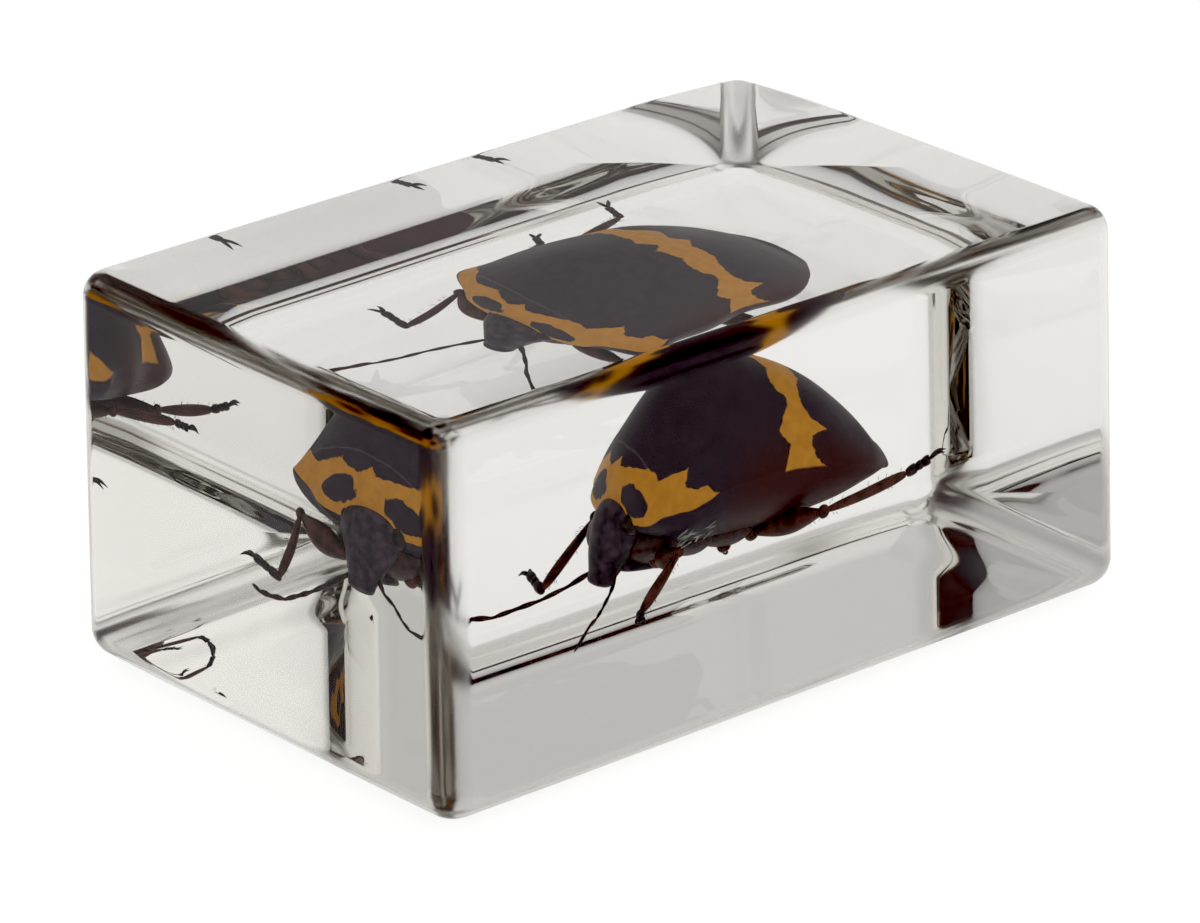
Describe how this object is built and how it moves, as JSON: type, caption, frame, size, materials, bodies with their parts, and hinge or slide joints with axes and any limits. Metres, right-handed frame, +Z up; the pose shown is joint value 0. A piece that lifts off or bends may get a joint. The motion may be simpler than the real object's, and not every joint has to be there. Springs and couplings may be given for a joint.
{
  "type": "insect in resin block",
  "caption": "Dry shield bug cast whole in a small clear resin block with softly rounded edges, kept as a desk specimen.",
  "frame": {"origin": "middle of the block's underside, on the surface it rests on", "axes": "+X along the block's length, towards the insect's tail; +Y along its width, towards the insect's right side; +Z up through the insect's back"},
  "size_m": [0.044, 0.029, 0.0207],
  "materials": {
    "insect": "hard dry cuticle, near-black with a golden band, satin gloss",
    "clear_resin": "clear cast resin, polished"
  },
  "bodies": {
    "root": {"shield_bug": "insect", "resin_block_lower": "clear_resin", "resin_block_upper": "clear_resin"}
  },
  "joints": []
}
